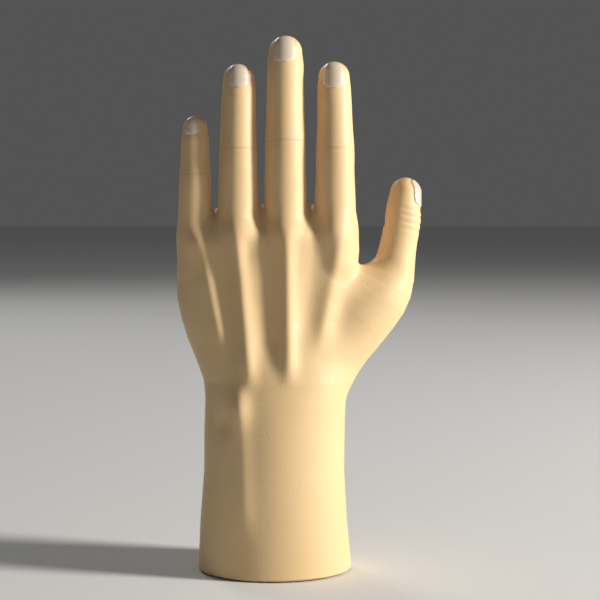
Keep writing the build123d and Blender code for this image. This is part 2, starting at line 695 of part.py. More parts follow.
def wrist_spindle():
    """The turning shaft, with the head that the hand is screwed to."""
    head_radius, head_height = SPINDLE_HEAD
    seat = HOUSING_TOP + BUSH_COLLAR + SIDE_GAP
    shaft = Pos(0, 0, SPINDLE_END) * Cylinder(SPINDLE_RADIUS, seat - SPINDLE_END, align=BASE)
    shaft += Pos(0, 0, seat) * Cylinder(head_radius, head_height, align=BASE)
    return shaft - spindle_screw_holes(SCREW_RADIUS + SEAT_GAP, seat - 1, seat + head_height)


def wrist_plate():
    """The plate that fills the cuff above the wrist unit and carries the chassis's foot."""
    low = FOOT_LOW - WRIST_PLATE_THICK
    slab = palm_loft(PALM_WALL + 2 * PALM_GAP + FORMER_WALL) & block((-90, 90), (-90, 90), (low, FOOT_LOW))
    slab -= spindle_screw_holes(SCREW_RADIUS + SEAT_GAP, low, FOOT_LOW)
    seat = HOUSING_TOP + BUSH_COLLAR + SIDE_GAP + SPINDLE_HEAD[1]
    boss = ring(SPINDLE_HEAD[0], 7.0, seat, low) - spindle_screw_holes(SCREW_RADIUS + SEAT_GAP, seat, low)
    return slab + boss


def spindle_screws():
    """Four screws down through the chassis's foot and the wrist plate into the spindle."""
    one = screw(13.0, Pos(0, 0, FOOT_LOW + FOOT_THICK))
    return Compound(children=PolarLocations(SPINDLE_SCREW_CIRCLE / 2, 4) * one)


def cuff_former():
    """The rigid tube that holds the cuff's shape."""
    inset = PALM_WALL + PALM_GAP
    tube = palm_loft(inset) - palm_loft(inset + FORMER_WALL)
    return tube & block((-90, 90), (-90, 90), (1.0, FORMER_TOP))


# ---------------------------------------------------------------- the whole hand


def digit_nodes(d):
    """The pieces of one digit that lie past its knuckle."""
    return {
        f"{d.name}_first_bone": d.inner * first_bone(d),
        f"{d.name}_bone_glove": d.inner * bone_glove(d),
        f"{d.name}_middle_fold": d.inner * middle_fold(d),
        f"{d.name}_middle_pivot": d.outer * middle_pivot(d),
        f"{d.name}_end_bone": d.outer * end_bone(d),
        f"{d.name}_tip_glove": d.outer * tip_glove(d),
        f"{d.name}_nail": d.outer * nail(d),
    }


def knuckle_pins():
    """The four knuckle pins, flush with their forks."""
    return Compound(children=[Pos(d.knuckle) * rod(PIN_RADIUS, 2 * hub_half(d)) for d in FINGERS])


def knuckle_washers():
    """Two friction washers for each knuckle."""
    return Compound(children=[Pos(d.knuckle) * w for d in FINGERS for w in washers(d.hub[0])])


def build():
    palm_glove, knuckle_folds, thumb_web = gloves()
    foam_back, foam_front = foam_halves()
    nodes = {
        "mounting_flange": mounting_flange(),
        "flange_screws": flange_screws(),
        "wrist_housing": wrist_housing(),
        "friction_bush": friction_bush(),
        "disc_springs": disc_springs(),
        "lock_nut": lock_nut(),
        "wrist_spindle": wrist_spindle(),
        "wrist_plate": wrist_plate(),
        "spindle_screws": spindle_screws(),
        "cuff_former": cuff_former(),
        "palm_chassis": palm_chassis(),
        "knuckle_block": knuckle_block(),
        "knuckle_pins": knuckle_pins(),
        "knuckle_washers": knuckle_washers(),
        "chassis_screws": chassis_screws(),
        "thumb_bracket": thumb_bracket(),
        "thumb_swing_pin": thumb_swing_pin(),
        "foam_back": foam_back,
        "foam_front": foam_front,
        "palm_glove": palm_glove,
        "knuckle_folds": knuckle_folds,
        "thumb_palm_bone": thumb_palm_bone(),
        "thumb_knuckle_pivot": THUMB.inner * pivot_set(THUMB.hub[0], hub_half(THUMB)),
        "thumb_web_glove": thumb_web,
        "thumb_knuckle_fold": THUMB.inner * thumb_fold(),
    }
    for d in [*FINGERS, THUMB]:
        nodes.update(digit_nodes(d))
    return nodes


os.makedirs("parts", exist_ok=True)
for node, shape in build().items():
    export_step(shape, f"parts/{node}.step")
    print(node, round(shape.volume))
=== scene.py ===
import json
import math

import bpy
import numpy as np
from mathutils import Matrix, Vector


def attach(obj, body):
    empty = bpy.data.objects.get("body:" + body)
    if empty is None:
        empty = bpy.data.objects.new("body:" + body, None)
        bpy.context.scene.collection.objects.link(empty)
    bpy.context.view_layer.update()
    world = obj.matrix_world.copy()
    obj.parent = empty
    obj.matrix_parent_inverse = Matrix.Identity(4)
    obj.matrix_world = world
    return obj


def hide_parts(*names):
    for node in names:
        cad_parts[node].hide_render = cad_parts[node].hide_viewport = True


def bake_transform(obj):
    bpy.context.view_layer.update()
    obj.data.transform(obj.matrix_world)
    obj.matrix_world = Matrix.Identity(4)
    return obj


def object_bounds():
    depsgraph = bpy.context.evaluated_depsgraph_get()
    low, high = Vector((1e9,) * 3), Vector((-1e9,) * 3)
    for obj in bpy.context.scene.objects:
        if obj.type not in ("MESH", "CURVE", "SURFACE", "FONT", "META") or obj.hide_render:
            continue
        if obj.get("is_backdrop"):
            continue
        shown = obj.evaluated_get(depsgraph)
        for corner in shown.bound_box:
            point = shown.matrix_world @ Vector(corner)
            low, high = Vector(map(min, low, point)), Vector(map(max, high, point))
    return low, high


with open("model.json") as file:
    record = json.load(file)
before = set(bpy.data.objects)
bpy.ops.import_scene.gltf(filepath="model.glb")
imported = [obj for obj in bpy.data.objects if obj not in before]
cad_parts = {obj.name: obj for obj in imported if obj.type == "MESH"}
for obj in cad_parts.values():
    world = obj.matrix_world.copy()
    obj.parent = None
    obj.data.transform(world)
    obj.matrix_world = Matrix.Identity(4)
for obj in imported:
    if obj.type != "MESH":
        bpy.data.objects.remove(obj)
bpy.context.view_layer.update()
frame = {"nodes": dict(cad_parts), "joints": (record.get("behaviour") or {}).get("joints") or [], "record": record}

# ------------------------------------------------------------ the moulded skin's form
# One hollow glove of skin-coloured silicone, cast over a hand and pulled over the frame.
# It is thickest over the palm, thin at the folds, and open at the forearm.

pivot = {j["name"]: np.array(j["pos_m"]) * 1000 for j in frame["joints"] if "pos_m" in j}
fingers = ("index", "middle", "ring", "little")
tip_length = {"index": 44.6, "middle": 53.6, "ring": 43.6, "little": 29.9}
bone_lean, tip_lean = math.radians(3), math.radians(6)
rim_height = 0.3  # the cuff's open end clears what the flange is mounted on


def smooth_min(a, b, k):
    h = np.maximum(k - np.abs(a - b), 0) / k
    return np.minimum(a, b) - h * h * k / 4


def smooth_step(t):
    t = np.clip(t, 0, 1)
    return t * t * (3 - 2 * t)


def limb(p, stops):
    """A round limb whose thickness changes smoothly through (point, radius) stops."""
    centres = [np.array(c, float) for c, r in stops]
    steps = [np.linalg.norm(b - a) for a, b in zip(centres, centres[1:])]
    reach = np.concatenate([[0], np.cumsum(steps)])
    fine = np.linspace(0, reach[-1], 160)
    thick = np.interp(fine, reach, [r for c, r in stops])
    blur, tip_starts = 0.035 * reach[-1], 0.93 * reach[-1]
    soft = np.exp(-(((fine[:, None] - fine) / blur) ** 2))
    thick = np.where(fine > tip_starts, thick, (soft @ thick) / soft.sum(1))
    nearest, place = None, None
    for a, b, length, start in zip(centres, centres[1:], steps, reach):
        d = (b - a) / length
        t = np.clip((p[0] - a[0]) * d[0] + (p[1] - a[1]) * d[1] + (p[2] - a[2]) * d[2], 0, length)
        gap = (p[0] - a[0] - t * d[0]) ** 2 + (p[1] - a[1] - t * d[1]) ** 2 + (p[2] - a[2] - t * d[2]) ** 2
        closer = gap < nearest if nearest is not None else np.ones(np.shape(gap), bool)
        nearest = np.where(closer, gap, nearest if nearest is not None else gap)
        place = np.where(closer, start + t, place if place is not None else t)
    return np.sqrt(nearest) - np.interp(place, fine, thick)


# height, centre x, half width, centre y, half depth, squareness
palm_rows = np.array([
    (-4, -0.25, 38.6, 0.0, 30.2, 2.0),
    (5, -0.25, 38.3, 0.0, 29.9, 2.0),
    (25, -0.8, 36.9, 0.0, 29.2, 2.0),
    (50, -0.5, 35.2, 0.0, 28.2, 2.0),
    (72, -0.3, 35.2, 0.0, 26.6, 2.0),
    (85, 0.2, 35.2, 0.0, 25.0, 2.05),
    (95, 0.6, 35.6, 0.3, 23.2, 2.1),
    (105, -1.2, 36.3, 0.8, 21.2, 2.2),
    (115, -1.6, 38.4, 1.3, 19.2, 2.3),
    (125, -3.6, 41.0, 1.8, 17.8, 2.35),
    (135, -4.0, 43.3, 2.1, 16.8, 2.4),
    (147, -3.9, 43.8, 2.2, 15.9, 2.5),
    (160, -3.4, 45.3, 1.9, 14.6, 2.6),
    (168, -3.6, 45.2, 1.6, 13.8, 2.6),
    (178, -3.9, 44.4, 1.0, 12.4, 2.6),
    (190, -4.0, 43.0, 0.6, 10.5, 2.6),
])


def web_height(x, y):
    """The skin between the fingers: a saddle, lower at the little finger and towards both faces."""
    crest = 183.4
    little_side = 6.8 * smooth_step((-20 - x) / 24)
    back_slope = 0.62 * np.clip(7 - y, 0, 15)
    palm_slope = 0.45 * np.clip(y - 7, 0, 12)
    return crest - little_side - back_slope - palm_slope


def palm_form(p):
    """Forearm stub, wrist and palm, without the digits."""
    x, y, z = p
    xc, a, yc, b, n = (np.interp(z, palm_rows[:, 0], palm_rows[:, i]) for i in range(1, 6))
    bow = smooth_step((z - 105) / 45) * 2.6 * ((x - 8) / 40) ** 2
    u, v = np.abs(x - xc) / a + 1e-4, np.abs(y - bow - yc) / b + 1e-4
    size = (u**n + v**n) ** (1 / n)
    steep = np.sqrt((u ** (n - 1) / a) ** 2 + (v ** (n - 1) / b) ** 2) * size ** (1 - n)
    side = (size - 1) / np.maximum(steep, 0.5 / a)
    top = (z - web_height(x, y)) * 0.88
    body = -smooth_min(-side, -top, 9.0)
    little_pad = limb(p, [((-20, 8, 98), 12), ((-30, 9.5, 120), 14.0), ((-34.5, 7.5, 142), 12.5)])
    thumb_pad = limb(p, [((20, 12, 100), 12), ((38.5, 12.5, 122), 13.8), ((51, 10.5, 135.5), 12.1)])
    return smooth_min(smooth_min(body, little_pad, 10), thumb_pad, 10)


def finger_stops(name):
    """The finger's centre line with its thickness, from inside the palm to the fingertip."""
    knuckle, middle = pivot[name + "_knuckle"], pivot[name + "_middle"]
    along = np.array([0, math.sin(bone_lean), math.cos(bone_lean)])
    on = np.array([0, math.sin(tip_lean), math.cos(tip_lean)])
    base, waist, joint, shank, end = {
        "index": (10.5, 9.5, 9.7, 8.6, 7.7), "middle": (10.9, 10.1, 10.1, 9.3, 8.3),
        "ring": (10.4, 9.5, 9.4, 8.7, 7.7), "little": (8.7, 8.0, 7.9, 7.0, 6.0)}[name]
    run, out = np.linalg.norm(middle - knuckle), tip_length[name]
    shift = np.array([{"index": -0.5, "middle": 0, "ring": 0.3, "little": 0.0}[name], 0, 0])
    out_at_base = np.array([-0.8 if name == "little" else 0.0, 0, 0])
    knuckle, middle = knuckle + out_at_base, middle + 0.8 * out_at_base
    return [
        (knuckle - 12 * along, base - 1.2),
        (knuckle + 4 * along, base),
        (knuckle + 0.45 * run * along, base - 0.35),
        (middle - 10 * on, waist),
        (middle, joint),
        (middle + 0.27 * out * on, shank + 0.15),
        (middle + 0.5 * out * on + 0.5 * shift, shank),
        (middle + (out - end - 6) * on + shift, shank - 0.25),
        (middle + (out - end) * on + shift, end),
    ]


thumb_root, thumb_knuckle, thumb_middle = (pivot["thumb_" + n] for n in ("swing", "knuckle", "middle"))
thumb_tip = np.array([67.0, 14.0, 197.0])


def eased(stops, count):
    """The same limb's line and thickness with its corners rounded, through more stops."""
    table = np.array([(*c, r) for c, r in stops], float)
    reach = np.concatenate([[0], np.cumsum(np.linalg.norm(np.diff(table[:, :3], axis=0), axis=1))])
    fine = np.linspace(0, reach[-1], 200)
    line = np.stack([np.interp(fine, reach, table[:, i]) for i in range(4)], 1)
    spread = np.minimum(np.minimum(fine, reach[-1] - fine) * 0.6, 8.0)[:, None] + 0.01
    soft = np.exp(-(((fine[:, None] - fine) / spread) ** 2))
    line = (soft @ line) / soft.sum(1)[:, None]
    return [(row[:3], row[3]) for row in line[np.linspace(0, 199, count).astype(int)]]


thumb_stops = eased([
    (thumb_root + (4, 0, 3), 14.8),
    (thumb_root + (12, 0.5, 14), 14.8),
    ((42.5, 7.5, 123.5), 14.5),
    ((52.5, 8.6, 134), 13.1),
    (thumb_knuckle + (0, 0, 1.0), 11.2),
    ((61.0, 11, 155), 9.7),
    ((63.2, 11.8, 168), 8.9),
    (thumb_middle + (0.5, 0, 1), 8.9),
    ((65.0, 13, 184), 8.6),
    ((66.0, 13.7, 189.0), 7.8),
], 15)
thumb_back = np.array([0.97, -0.22, -0.16]) / np.linalg.norm([0.97, -0.22, -0.16])


def bump(p, centre, spread, height):
    """A soft mound, or a hollow if height is below 0."""
    away = sum(((q - c) / s) ** 2 for q, c, s in zip(p, centre, spread))
    return height * np.exp(-away / 2)


def ridge(p, a, b, spread, height, ends=8.0):
    """A raised or sunken line over heights and widths from a to b, the same at every depth."""
    (ax, az), (bx, bz) = a, b
    length = math.hypot(bx - ax, bz - az)
    ux, uz = (bx - ax) / length, (bz - az) / length
    t = (p[0] - ax) * ux + (p[2] - az) * uz
    off = (p[0] - ax) * uz - (p[2] - az) * ux
    fade = smooth_step((t + ends / 2) / ends) * smooth_step((length + ends / 2 - t) / ends)
    return height * np.exp(-((off / spread) ** 2) / 2) * fade


def crease(p, ends, spread, depth):
    """A hollow along a curve over heights and widths, through a start, a pull and an end."""
    (ax, az), (bx, bz), (cx, cz) = ends
    nearest, place = np.full(np.shape(p[0]), 1e9), np.zeros(np.shape(p[0]))
    for t in np.linspace(0, 1, 70):
        x = (1 - t) ** 2 * ax + 2 * t * (1 - t) * bx + t * t * cx
        z = (1 - t) ** 2 * az + 2 * t * (1 - t) * bz + t * t * cz
        gap = (p[0] - x) ** 2 + (p[2] - z) ** 2
        place = np.where(gap < nearest, t, place)
        nearest = np.minimum(nearest, gap)
    return -depth * np.exp(-nearest / (2 * spread**2)) * np.sin(math.pi * np.clip(place, 0.0, 1.0)) ** 0.7


def relief(p):
    """Tendons, knuckles, wrist bone, pads and creases, as heights over the plain form."""
    x, y, z = p
    back = smooth_step((3 - y) / 8)
    front = smooth_step((y - 3) / 8)
    rise = np.zeros(np.shape(x))
    tendons = [
        ((33, 166), (23, 116), 1.4),
        ((6.0, 168), (7, 100), 2.5),
        ((-19.0, 168), (-12.5, 98), 2.5),
        ((-37, 166), (-26.5, 114), 2.1),
    ]
    valleys = [
        ((22, 180), (15.5, 120), -1.1),
        ((-5.0, 180), (-3.0, 108), -1.4),
        ((-28.5, 174), (-20.0, 112), -0.9),
    ]
    for a, b, height in tendons:
        rise += back * ridge(p, a, b, 3.0, height, 18)
    for a, b, height in valleys:
        rise += back * ridge(p, a, b, 3.6, height, 18)
    for name in fingers:
        k, m = pivot[name + "_knuckle"], pivot[name + "_middle"]
        small = 0.75 if name == "little" else 1.0
        rise += bump(p, (k[0], k[1] - 12, k[2] + 2), (5.6 * small, 5, 6.0), 1.9)
        rise += bump(p, (m[0], m[1] - 9, m[2]), (6.0 * small, 4, 5.5), 0.45)
        rise += bump(p, (k[0], k[1] + 13, k[2] - 8), (7.0, 5, 6.0), 1.5)
        half = m + 0.5 * tip_length[name] * np.array([0, math.sin(tip_lean), math.cos(tip_lean)])
        near = np.exp(-(((x - m[0]) / 9.0) ** 4))
        pad = smooth_step((y - m[1] - 2.5) / 5)
        for height, deep in ((m[2] + 0.2, 0.6), (m[2] - 2.6, 0.25), (half[2], 0.45), (k[2] + 17.5, 0.7)):
            rise -= near * pad * deep * np.exp(-(((z - height) / 1.0) ** 2) / 2)
        for height, deep in ((m[2] - 3.0, 0.08), (m[2] + 0.2, 0.14), (m[2] + 3.2, 0.08)):
            rise -= near * (1 - pad) * deep * np.exp(-(((z - height) / 0.7) ** 2) / 2)
        rise += bump(p, (m[0], half[1] + 8, half[2] + 0.25 * tip_length[name]), (5, 4, 6), 0.8)
    wrist_bone = bump(p, (-17.8, -24, 84.5), (3.8, 9, 7.2), 3.2)
    hollow = bump(p, (-25.2, -20, 75.5), (3.2, 8, 4.6), -1.4)
    rise += wrist_bone + hollow
    rise += back * ridge(p, (-17.5, 78), (-15.5, 26), 3.8, 1.35, 26)  # forearm bone
    rise += bump(p, (42, -3, 137), (8, 9, 11), 1.8)  # muscle between thumb and index finger
    rise += bump(p, (-1, 19, 130), (14, 8, 18), -1.7)  # hollow of the palm
    wanted = front > 0  # the palm's and the wrist's creases are worked out only where they show
    part = [q[wanted] for q in p]
    lines = (
        (((35, 150), (4, 141), (9, 94)), 1.4, 0.95),
        (((34, 150), (8, 148), (-26, 124)), 1.3, 0.75),
        (((-45, 149), (-2, 150), (15, 173)), 1.3, 0.75),
        (((-27, 92), (0, 87), (26, 93)), 1.2, 0.45),
        (((-24, 86), (0, 82), (22, 86)), 1.1, 0.25),
    )
    folds = sum(crease(part, ends, spread, deep) for ends, spread, deep in lines)
    rise[wanted] += front[wanted] * folds
    outside = smooth_step((x - 61) / 6)  # the thumb's nail side
    for height, deep in ((179.8, 0.35), (176.6, 0.42), (173.2, 0.42), (169.8, 0.25)):
        rise -= outside * deep * np.exp(-(((z - height + 0.16 * (x - 72)) / 0.8) ** 2) / 2)
    rise += bump(p, (72, 10, 175), (4, 7, 5.5), 0.8)
    inside = np.exp(-(((x - 56) / 5) ** 2)) * smooth_step((y - 4) / 6) * (z > 160)
    rise -= inside * 0.5 * np.exp(-(((z - 173.5) / 0.9) ** 2) / 2)
    return rise + bump(p, (70, 9, 142), (4, 9, 7), 0.7)


nail_sizes = {  # width, length
    "index": (10.8, 13.4),
    "middle": (10.6, 13.9),
    "ring": (9.8, 12.2),
    "little": (8.0, 9.0),
    "thumb": (11.6, 13.4),
}
nail_roll = {"index": math.radians(-4), "middle": math.radians(-4), "ring": 0.0, "little": math.radians(-16)}


def nail_frame(name):
    """The nail's middle on the digit's line, and the ways that it faces, lies along and lies across."""
    if name == "thumb":
        on = (thumb_tip - thumb_middle) / np.linalg.norm(thumb_tip - thumb_middle)
        end, out = thumb_tip, thumb_back - (thumb_back @ on) * on
    else:
        on = np.array([0, math.sin(tip_lean), math.cos(tip_lean)])
        end = finger_stops(name)[-1][0] + on * finger_stops(name)[-1][1]
        r = nail_roll[name]
        out = np.array([math.sin(r), -math.cos(r), 0])
        out = out - (out @ on) * on
    out = out / np.linalg.norm(out)
    centre = end - on * (0.5 * nail_sizes[name][1] + 1.0)
    return centre, out, on, np.cross(on, out)


def hand(p):
    """Height over the skin, in millimetres, below 0 inside."""
    x, y, z = p
    whole = palm_form(p)
    for name in fingers:
        stops = finger_stops(name)
        whole = smooth_min(whole, limb(p, stops), 3.6)
    whole = smooth_min(whole, limb(p, thumb_stops), 9)
    thumb_web = [((30, 4, 140), 8.5), ((42, 6, 143), 6.8), ((54, 9, 145.5), 7.5)]
    whole = smooth_min(whole, limb(p, thumb_web), 6)
    close = np.abs(whole) < 5
    whole[close] -= relief([q[close] for q in p])
    for name in nail_sizes:  # the bed that each nail lies in
        centre, out, on, across = nail_frame(name)
        width, length = nail_sizes[name]
        q = [p[i] - centre[i] for i in range(3)]
        u, v, w = (sum(q[i] * way[i] for i in range(3)) for way in (across, on, out))
        inside = np.exp(-((np.abs(u) / (0.60 * width)) ** 6) - (np.abs(v + 0.6) / (0.62 * length)) ** 6)
        whole = whole + inside * smooth_step(w / 3) * 0.35
    return np.maximum(whole, rim_height - z)


def outward(p, step=0.3):
    """The skin's outward direction."""
    slope = []
    for i in range(3):
        ahead, behind = [q.copy() for q in p], [q.copy() for q in p]
        ahead[i] += step
        behind[i] -= step
        slope.append(hand(ahead) - hand(behind))
    length = np.sqrt(sum(s * s for s in slope)) + 1e-9
    return [s / length for s in slope], length / (2 * step)


def skin_net(cell):
    """Quads over the skin, from a grid of heights with cells of this size."""
    axes = [np.arange(lo, hi, cell) for lo, hi in ((-54, 80), (-36, 38), (-1.0, 272))]
    grid = np.empty([len(a) for a in axes], np.float32)
    for i in range(0, len(axes[2]), 24):
        part = np.meshgrid(axes[0], axes[1], axes[2][i:i + 24], indexing="ij")
        grid[:, :, i:i + 24] = hand(part)
    inside = grid < 0
    count = np.zeros([n - 1 for n in grid.shape], np.int8)
    corners = [(i, j, k) for i in (0, 1) for j in (0, 1) for k in (0, 1)]
    for c in corners:
        count += inside[tuple(slice(i, size - 1 + i) for i, size in zip(c, grid.shape))]
    cells = np.argwhere((count > 0) & (count < 8))
    number = -np.ones(count.shape, np.int64)
    number[tuple(cells.T)] = np.arange(len(cells))
    value = {c: grid[tuple((cells + c).T)] for c in corners}
    total, hits = np.zeros((len(cells), 3)), np.zeros(len(cells))
    for c in corners:
        for axis in range(3):
            if c[axis]:
                continue
            d = tuple(1 if i == axis else v for i, v in enumerate(c))
            crossed = (value[c] < 0) != (value[d] < 0)
            t = np.where(crossed, value[c] / np.where(crossed, value[c] - value[d], 1), 0)
            spot = np.array(c, float) + np.eye(3)[axis] * t[:, None]
            total += spot * crossed[:, None]
            hits += crossed
    points = (cells + total / hits[:, None]) * cell + [a[0] for a in axes]
    quads = []
    for axis in range(3):
        u, v = (axis + 1) % 3, (axis + 2) % 3
        lower = inside[tuple(slice(0, -1) if i == axis else slice(None) for i in range(3))]
        upper = inside[tuple(slice(1, None) if i == axis else slice(None) for i in range(3))]
        edges = np.argwhere(lower != upper)
        full = (edges[:, u] > 0) & (edges[:, v] > 0)
        full &= (edges[:, u] < count.shape[u]) & (edges[:, v] < count.shape[v])
        edges = edges[full]
        du, dv = np.eye(3, dtype=int)[u], np.eye(3, dtype=int)[v]
        ring = [number[tuple((edges - o).T)] for o in (0 * du, du, du + dv, dv)]
        face = np.stack(ring, 1)
        flip = ~lower[tuple(edges.T)]
        face[flip] = face[flip][:, ::-1]
        quads.append(face)
    return points, np.concatenate(quads)


coarse_cell, fine_cell = 1.25, 0.9
points, quads = skin_net(fine_cell)
edge_pairs = np.concatenate([quads[:, [0, 1]], quads[:, [1, 2]], quads[:, [2, 3]], quads[:, [3, 0]]])
edge_pairs = np.unique(np.sort(edge_pairs, 1), axis=0)
for settling in range(3):  # evens out the quads, then puts their corners back on the skin
    near = np.zeros_like(points)
    share = np.zeros(len(points))
    for a, b in ((0, 1), (1, 0)):
        np.add.at(near, edge_pairs[:, a], points[edge_pairs[:, b]])
        np.add.at(share, edge_pairs[:, a], 1)
    rim = np.abs(points[:, 2] - rim_height) < 0.6
    moved = 0.5 * points + 0.5 * near / share[:, None]
    points = np.where(rim[:, None], points, moved)
    for approach in range(2):
        p = [points[:, i].copy() for i in range(3)]
        way, slope = outward(p)
        height = np.clip(hand(p) / np.maximum(slope, 0.4), -0.8, 0.8)
        points = points - np.stack(way, 1) * np.where(rim, 0, height)[:, None]
points[points[:, 2] < 0.75, 2] = rim_height
p = [points[:, i].copy() for i in range(3)]
skin_way = np.stack(outward(p)[0], 1)
print("skin", len(points), "points", len(quads), "quads")

# ------------------------------------------------------------ materials for the skin
# Silicone tinted through its thickness, with a little colour brushed over the knuckles, the
# fingertips and the palm. It has a fine grain from the mould, and a thin dark line round each
# finger's middle joint.


class Field:
    """A socket in a node tree, on which Python's arithmetic adds Math nodes."""

    def __init__(self, tree, socket):
        self.tree, self.socket = tree, socket

    def math(self, operation, *others):
        node = self.tree.nodes.new("ShaderNodeMath")
        node.operation = operation
        for place, value in zip(node.inputs, (self, *others)):
            if isinstance(value, Field):
                self.tree.links.new(value.socket, place)
            else:
                place.default_value = value
        return Field(self.tree, node.outputs[0])

    def node(self, kind, settings=(), output=0, **sockets):
        """Adds any other node: its settings first, then its sockets' values or links."""
        made = self.tree.nodes.new(kind)
        for key, value in dict(settings).items():
            if key == "stops":
                ramp = made.color_ramp.elements
                while len(ramp) < len(value):
                    ramp.new(0.5)
                for stop, (place, colour) in zip(ramp, value):
                    stop.position, stop.color = place, colour
            else:
                setattr(made, key, value)
        for key, value in sockets.items():
            place = made.inputs[int(key[1:])] if key[1:].isdigit() else made.inputs[key.replace("_", " ")]
            if isinstance(value, Field):
                self.tree.links.new(value.socket, place)
            else:
                place.default_value = value
        return Field(self.tree, made.outputs[output])

    def mix(self, a, b):
        """Colour a where this is 0 and b where it is 1."""
        return self.node("ShaderNodeMix", {"data_type": "RGBA"}, 2, s0=self, s6=a, s7=b)

    def __add__(self, other):
        return self.math("ADD", other)

    def __mul__(self, other):
        return self.math("MULTIPLY", other)

    def __sub__(self, other):
        return self.math("SUBTRACT", other)

    def __rsub__(self, other):
        return (self * -1) + other

    __radd__, __rmul__ = __add__, __mul__


def finish_of(name, base, roughness, metallic=0.0, **constants):
    """A plain material, its shader, and its object coordinates as a field."""
    made = bpy.data.materials.new(name)
    made.use_nodes = True
    shader = made.node_tree.nodes["Principled BSDF"]
    shader.inputs["Base Color"].default_value = (*base, 1)
    shader.inputs["Roughness"].default_value = roughness
    shader.inputs["Metallic"].default_value = metallic
    for key, value in constants.items():
        shader.inputs[key.replace("_", " ")].default_value = value
    tree = made.node_tree
    place = Field(tree, tree.nodes.new("ShaderNodeTexCoord").outputs["Object"])
    return made, shader, place


def lead(field, shader, socket):
    field.tree.links.new(field.socket, shader.inputs[socket])


skin, shader, place = finish_of(
    "skin silicone", (0.76, 0.53, 0.28), 0.46, Specular_IOR_Level=0.35,
    Subsurface_Weight=0.06, Subsurface_Scale=0.004, Subsurface_Radius=(1.0, 0.45, 0.25))
blotch = place.node("ShaderNodeTexNoise", {}, 0, Vector=place, Scale=28.0, Detail=3.0, Roughness=0.55)
fleck = place.node("ShaderNodeTexNoise", {}, 0, Vector=place, Scale=420.0, Detail=2.0)
grain = place.node("ShaderNodeTexVoronoi", {"feature": "DISTANCE_TO_EDGE"}, 0, Vector=place, Scale=900.0)
flush = place.node("ShaderNodeAttribute", {"attribute_name": "flush"}, 2)
line = place.node("ShaderNodeAttribute", {"attribute_name": "line"}, 2)
plain = blotch.mix((0.82, 0.585, 0.315, 1), (0.76, 0.53, 0.275, 1))
rosy = (flush * 0.4).mix(plain, (0.76, 0.47, 0.25, 1))
mottled = (fleck * 0.08).mix(rosy, (0.56, 0.36, 0.18, 1))
lined = (line * 0.22).mix(mottled, (0.30, 0.15, 0.07, 1))
lead(lined, shader, "Base Color")
lead(fleck * 0.12 + 0.40 + line * 0.1, shader, "Roughness")
pores = grain.math("MINIMUM", 0.12) * 6.0 + blotch * 0.6
raised = place.node("ShaderNodeBump", {}, 0, Strength=0.16, Distance=0.0004, Height=pores - line * 1.6)
lead(raised, shader, "Normal")

# ------------------------------------------------------------ the glove, piece by piece
# The glove is one casting, rolled on over the frame and held by its own stretch. It is parted
# here where the bones under it part, so that each piece crosses one pivot at most, and their
# edges meet exactly.


def bone_way(a, b):
    d = np.array(b) - np.array(a)
    return d / np.linalg.norm(d)


def midlines():
    """Lines between neighbouring fingers, from little to index."""
    order = ("little", "ring", "middle", "index")
    return [(pivot[a + "_knuckle"][0] + pivot[b + "_knuckle"][0]) / 2 for a, b in zip(order, order[1:])]


def thumb_edge(z):
    """Where the thumb's stretching skin starts, across the hand at a height."""
    return np.interp(z, [88, 112, 140, 149, 154], [24, 26, 34, 39.0, 44.5])


def assign(points):
    """The piece that each point's skin belongs to."""
    x, y, z = points.T
    piece = np.full(len(points), "hand", dtype=object)
    lines = midlines()
    which = np.digitize(x, lines)
    for i, name in enumerate(("little", "ring", "middle", "index")):
        k, m = pivot[name + "_knuckle"], pivot[name + "_middle"]
        own = (which == i) & (z > k[2] - 14)
        if name == "index":
            own &= x < 44
        piece[own] = name + " base"
        piece[own & (z > m[2] - 10.5)] = name + " end"
    thumb_side = ((x > thumb_edge(z)) & (z > 88) & (z < 154)) | ((x > 46.5) & (z >= 154))
    piece[thumb_side] = "thumb base"
    first = bone_way(thumb_knuckle, thumb_middle)
    beyond = (points - thumb_knuckle) @ first
    piece[thumb_side & (beyond > 10.5) & (x > 46.5)] = "thumb shank"
    piece[thumb_side & (beyond > 22) & (x > 46.5)] = "thumb end"
    return piece


def weight(name, points):
    """How far each point of a piece has gone over to the body past its pivot."""
    x, y, z = points.T
    if name == "thumb base":
        width = np.interp(z, [88, 120, 148, 154], [22, 20, 8.5, 3.0])
        return smooth_step((x - thumb_edge(z) - 0.7) / width) * smooth_step((z - 88) / 24)
    if name == "thumb shank":
        return smooth_step(((points - thumb_knuckle) @ bone_way(thumb_knuckle, thumb_middle) - 10.5) / 6.5)
    if name == "thumb end":
        return smooth_step(((points - thumb_middle) @ bone_way(thumb_middle, thumb_tip) + 8) / 16)
    digit, part = name.split()
    k, m = pivot[digit + "_knuckle"], pivot[digit + "_middle"]
    if part == "end":
        return smooth_step(((points - m) @ np.array([0, math.sin(tip_lean), math.cos(tip_lean)]) + 8) / 16)
    along = (points - k) @ np.array([0, math.sin(bone_lean), math.cos(bone_lean)])
    aside = np.ones(len(points))
    for line in midlines():
        half = abs(line - k[0])
        if half < 14:
            off = (x - k[0]) * np.sign(line - k[0])
            aside = aside * (1 - smooth_step((off - 0.60 * half) / (0.38 * half)))
    past_web = smooth_step((z - web_height(x, y) - 3.2) / 6)
    aside = aside + (1 - aside) * past_web
    return smooth_step((along + 12.5) / 23) * aside


